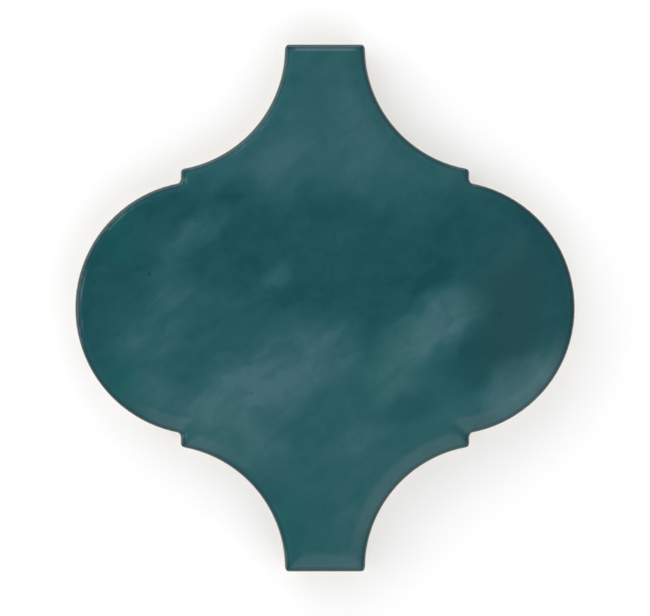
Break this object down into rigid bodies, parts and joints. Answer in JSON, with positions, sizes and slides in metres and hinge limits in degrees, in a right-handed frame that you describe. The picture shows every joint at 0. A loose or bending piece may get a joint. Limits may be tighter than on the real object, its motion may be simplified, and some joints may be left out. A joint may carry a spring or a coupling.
{
  "type": "arabesque tile",
  "caption": "Glazed ceramic lantern-shaped mosaic tile with an eased rim and grooves in the bond face.",
  "frame": {"origin": "centre of the tile's outline, in the plane of the bond face that lies in the mortar", "axes": "+Z out of the glazed face, +Y along the tile towards one neck, +X across the tile towards one bulge"},
  "size_m": [0.073, 0.077, 0.006],
  "materials": {
    "glaze": "gloss"
  },
  "bodies": {
    "root": {"arabesque_tile": "glaze"}
  },
  "joints": []
}
